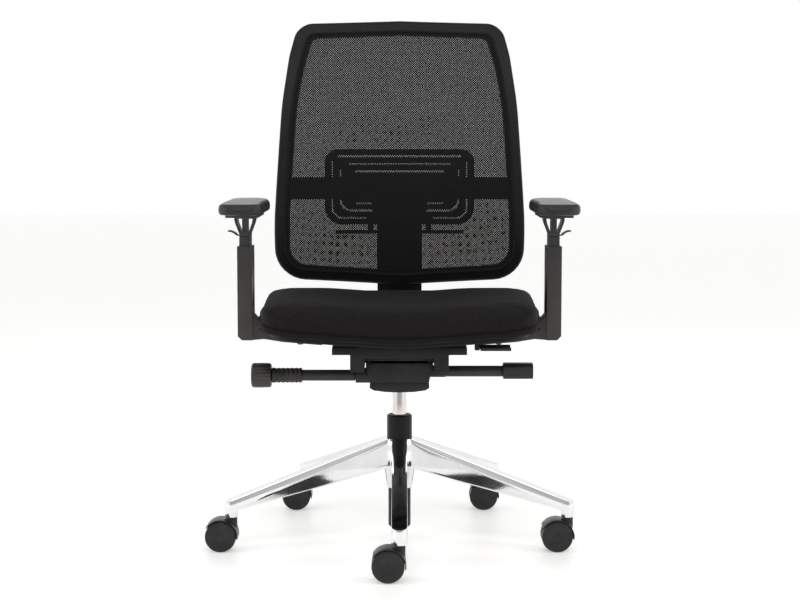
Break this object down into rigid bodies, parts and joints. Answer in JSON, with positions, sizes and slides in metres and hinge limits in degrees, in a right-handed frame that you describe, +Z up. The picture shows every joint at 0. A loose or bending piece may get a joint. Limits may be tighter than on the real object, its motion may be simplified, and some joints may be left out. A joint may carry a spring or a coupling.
{
  "type": "swivel office chair",
  "caption": "Mesh-back swivel task chair: tilt mechanism, adjustable arms, lumbar pad and seat depth, gas column, polished five-leg base on twin-wheel casters.",
  "frame": {"origin": "on the floor, on the axis of the gas column", "axes": "+Z up, -Y the way the sitter faces, +X to the right seen from the front"},
  "size_m": [0.7153, 0.6934, 1.04],
  "materials": {
    "polished_aluminium": "mirror polished",
    "black_steel": "gloss black",
    "black_nylon": "fine grain",
    "bright_steel": "ground",
    "chrome": "polished",
    "black_casting": "satin powder coat",
    "spring_steel": "oiled",
    "seat_fabric": "woven",
    "black_alloy": "satin powder coat",
    "back_nylon": "satin",
    "mesh_knit": "open knit",
    "screw_steel": "blackened",
    "arm_nylon": "fine grain",
    "pad_foam": "satin skin",
    "caster_nylon": "satin",
    "wheel_nylon": "satin"
  },
  "bodies": {
    "base": {"base_star": "polished_aluminium", "column_tube": "black_steel", "column_bush": "black_nylon"},
    "column_rod": {"piston_rod": "bright_steel", "thrust_bearing": "bright_steel"},
    "mechanism": {"gas_cylinder": "chrome", "mech_housing": "black_casting", "mech_cover": "black_nylon", "mech_springs": "spring_steel", "front_shaft": "bright_steel", "rear_shaft": "bright_steel"},
    "back": {"back_link": "black_alloy", "back_spine": "back_nylon", "back_frame": "back_nylon", "back_mesh": "mesh_knit", "spine_screws": "screw_steel"},
    "lumbar": {"lumbar_pad": "back_nylon", "lumbar_handle": "back_nylon"},
    "carrier": {"seat_carrier": "black_nylon"},
    "seat": {"seat_shell": "black_nylon", "seat_cushion": "seat_fabric", "left_arm_bracket": "arm_nylon", "right_arm_bracket": "arm_nylon", "arm_screws": "screw_steel"},
    "depth_lever": {"seat_depth_lever": "black_nylon"},
    "height_lever": {"height_lever": "black_nylon", "height_grip": "black_nylon"},
    "tilt_lever": {"tilt_lever": "black_nylon", "tilt_grip": "black_nylon"},
    "tension_knob": {"tension_knob": "black_nylon"},
    "left_post": {"left_arm_post": "arm_nylon", "left_arm_head": "arm_nylon"},
    "left_trigger": {"left_arm_trigger": "black_nylon"},
    "left_plate": {"left_pad_plate": "black_nylon"},
    "left_pad": {"left_arm_pad": "pad_foam"},
    "right_post": {"right_arm_post": "arm_nylon", "right_arm_head": "arm_nylon"},
    "right_trigger": {"right_arm_trigger": "black_nylon"},
    "right_plate": {"right_pad_plate": "black_nylon"},
    "right_pad": {"right_arm_pad": "pad_foam"},
    "caster_1": {"caster_1_hood": "caster_nylon", "caster_1_pins": "bright_steel"},
    "caster_2": {"caster_2_hood": "caster_nylon", "caster_2_pins": "bright_steel"},
    "caster_3": {"caster_3_hood": "caster_nylon", "caster_3_pins": "bright_steel"},
    "caster_4": {"caster_4_hood": "caster_nylon", "caster_4_pins": "bright_steel"},
    "caster_5": {"caster_5_hood": "caster_nylon", "caster_5_pins": "bright_steel"},
    "caster_1_wheel_a": {"caster_1_wheel_a": "wheel_nylon"},
    "caster_1_wheel_b": {"caster_1_wheel_b": "wheel_nylon"},
    "caster_2_wheel_a": {"caster_2_wheel_a": "wheel_nylon"},
    "caster_2_wheel_b": {"caster_2_wheel_b": "wheel_nylon"},
    "caster_3_wheel_a": {"caster_3_wheel_a": "wheel_nylon"},
    "caster_3_wheel_b": {"caster_3_wheel_b": "wheel_nylon"},
    "caster_4_wheel_a": {"caster_4_wheel_a": "wheel_nylon"},
    "caster_4_wheel_b": {"caster_4_wheel_b": "wheel_nylon"},
    "caster_5_wheel_a": {"caster_5_wheel_a": "wheel_nylon"},
    "caster_5_wheel_b": {"caster_5_wheel_b": "wheel_nylon"}
  },
  "joints": [
    {"name": "column_swivel", "type": "hinge", "parent": "base", "child": "column_rod", "pos_m": [0, 0, 0.2], "axis": [0, 0, 1], "continuous": true},
    {"name": "seat_height", "type": "slide", "parent": "column_rod", "child": "mechanism", "axis": [0, 0, 1], "range_m": [-0.035, 0.08]},
    {"name": "recline", "type": "hinge", "parent": "mechanism", "child": "back", "pos_m": [0, 0.042, 0.35], "axis": [-1, 0, 0], "range_deg": [0, 22], "stiffness_Nm_per_rad": 60, "springref_deg": -28.65},
    {"name": "seat_tilt", "type": "hinge", "parent": "mechanism", "child": "carrier", "pos_m": [0, -0.07, 0.367], "axis": [-1, 0, 0], "range_deg": [0, 8.8]},
    {"name": "seat_depth", "type": "slide", "parent": "carrier", "child": "seat", "axis": [0, -1, 0], "range_m": [0, 0.05]},
    {"name": "lumbar_height", "type": "slide", "parent": "back", "child": "lumbar", "axis": [0, 0, 1], "range_m": [-0.03, 0.03]},
    {"name": "left_arm_height", "type": "slide", "parent": "seat", "child": "left_post", "axis": [0, 0, 1], "range_m": [-0.018, 0.08]},
    {"name": "left_pad_turn", "type": "hinge", "parent": "left_post", "child": "left_plate", "pos_m": [-0.299, -0.04, 0.645], "axis": [0, 0, 1], "range_deg": [-20, 20]},
    {"name": "left_pad_depth", "type": "slide", "parent": "left_plate", "child": "left_pad", "axis": [0, -1, 0], "range_m": [-0.03, 0.025]},
    {"name": "left_trigger_squeeze", "type": "hinge", "parent": "left_post", "child": "left_trigger", "pos_m": [-0.30575, -0.04, 0.6075], "axis": [0, 1, 0], "range_deg": [0, 8], "stiffness_Nm_per_rad": 0.5, "springref_deg": -17.19},
    {"name": "right_arm_height", "type": "slide", "parent": "seat", "child": "right_post", "axis": [0, 0, 1], "range_m": [-0.018, 0.08]},
    {"name": "right_pad_turn", "type": "hinge", "parent": "right_post", "child": "right_plate", "pos_m": [0.299, -0.04, 0.645], "axis": [0, 0, 1], "range_deg": [-20, 20]},
    {"name": "right_pad_depth", "type": "slide", "parent": "right_plate", "child": "right_pad", "axis": [0, -1, 0], "range_m": [-0.03, 0.025]},
    {"name": "right_trigger_squeeze", "type": "hinge", "parent": "right_post", "child": "right_trigger", "pos_m": [0.30575, -0.04, 0.6075], "axis": [0, -1, 0], "range_deg": [0, 8], "stiffness_Nm_per_rad": 0.5, "springref_deg": -17.19},
    {"name": "height_lever_twist", "type": "hinge", "parent": "mechanism", "child": "height_lever", "pos_m": [0.1, -0.026, 0.339], "axis": [1, 0, 0], "range_deg": [0, 12], "stiffness_Nm_per_rad": 3, "springref_deg": -17.19},
    {"name": "tilt_lever_twist", "type": "hinge", "parent": "mechanism", "child": "tilt_lever", "pos_m": [-0.1, -0.07, 0.337], "axis": [1, 0, 0], "range_deg": [0, 35]},
    {"name": "tension_knob_turn", "type": "hinge", "parent": "tilt_lever", "child": "tension_knob", "pos_m": [-0.26, -0.07, 0.337], "axis": [-1, 0, 0], "continuous": true},
    {"name": "depth_lever_lift", "type": "hinge", "parent": "seat", "child": "depth_lever", "pos_m": [0.15, -0.205, 0.409], "axis": [-1, 0, 0], "range_deg": [0, 12], "stiffness_Nm_per_rad": 1, "springref_deg": -17.19},
    {"name": "caster_1_swivel", "type": "hinge", "parent": "base", "child": "caster_1", "pos_m": [0, -0.3415, 0.07], "axis": [0, 0, 1], "continuous": true},
    {"name": "caster_2_swivel", "type": "hinge", "parent": "base", "child": "caster_2", "pos_m": [0.32479, -0.10553, 0.07], "axis": [0, 0, 1], "continuous": true},
    {"name": "caster_3_swivel", "type": "hinge", "parent": "base", "child": "caster_3", "pos_m": [0.20073, 0.27628, 0.07], "axis": [0, 0, 1], "continuous": true},
    {"name": "caster_4_swivel", "type": "hinge", "parent": "base", "child": "caster_4", "pos_m": [-0.20073, 0.27628, 0.07], "axis": [0, 0, 1], "continuous": true},
    {"name": "caster_5_swivel", "type": "hinge", "parent": "base", "child": "caster_5", "pos_m": [-0.32479, -0.10553, 0.07], "axis": [0, 0, 1], "continuous": true},
    {"name": "caster_1_roll_a", "type": "hinge", "parent": "caster_1", "child": "caster_1_wheel_a", "pos_m": [-0.0205, -0.3415, 0.03], "axis": [0, 1, 0], "continuous": true},
    {"name": "caster_1_roll_b", "type": "hinge", "parent": "caster_1", "child": "caster_1_wheel_b", "pos_m": [-0.0205, -0.3415, 0.03], "axis": [0, 1, 0], "continuous": true},
    {"name": "caster_2_roll_a", "type": "hinge", "parent": "caster_2", "child": "caster_2_wheel_a", "pos_m": [0.30429, -0.10553, 0.03], "axis": [0, 1, 0], "continuous": true},
    {"name": "caster_2_roll_b", "type": "hinge", "parent": "caster_2", "child": "caster_2_wheel_b", "pos_m": [0.30429, -0.10553, 0.03], "axis": [0, 1, 0], "continuous": true},
    {"name": "caster_3_roll_a", "type": "hinge", "parent": "caster_3", "child": "caster_3_wheel_a", "pos_m": [0.18023, 0.27628, 0.03], "axis": [0, 1, 0], "continuous": true},
    {"name": "caster_3_roll_b", "type": "hinge", "parent": "caster_3", "child": "caster_3_wheel_b", "pos_m": [0.18023, 0.27628, 0.03], "axis": [0, 1, 0], "continuous": true},
    {"name": "caster_4_roll_a", "type": "hinge", "parent": "caster_4", "child": "caster_4_wheel_a", "pos_m": [-0.22123, 0.27628, 0.03], "axis": [0, 1, 0], "continuous": true},
    {"name": "caster_4_roll_b", "type": "hinge", "parent": "caster_4", "child": "caster_4_wheel_b", "pos_m": [-0.22123, 0.27628, 0.03], "axis": [0, 1, 0], "continuous": true},
    {"name": "caster_5_roll_a", "type": "hinge", "parent": "caster_5", "child": "caster_5_wheel_a", "pos_m": [-0.34529, -0.10553, 0.03], "axis": [0, 1, 0], "continuous": true},
    {"name": "caster_5_roll_b", "type": "hinge", "parent": "caster_5", "child": "caster_5_wheel_b", "pos_m": [-0.34529, -0.10553, 0.03], "axis": [0, 1, 0], "continuous": true}
  ],
  "couplings": [
    {"joint": "seat_tilt", "follows": "recline", "ratio": 0.4}
  ]
}
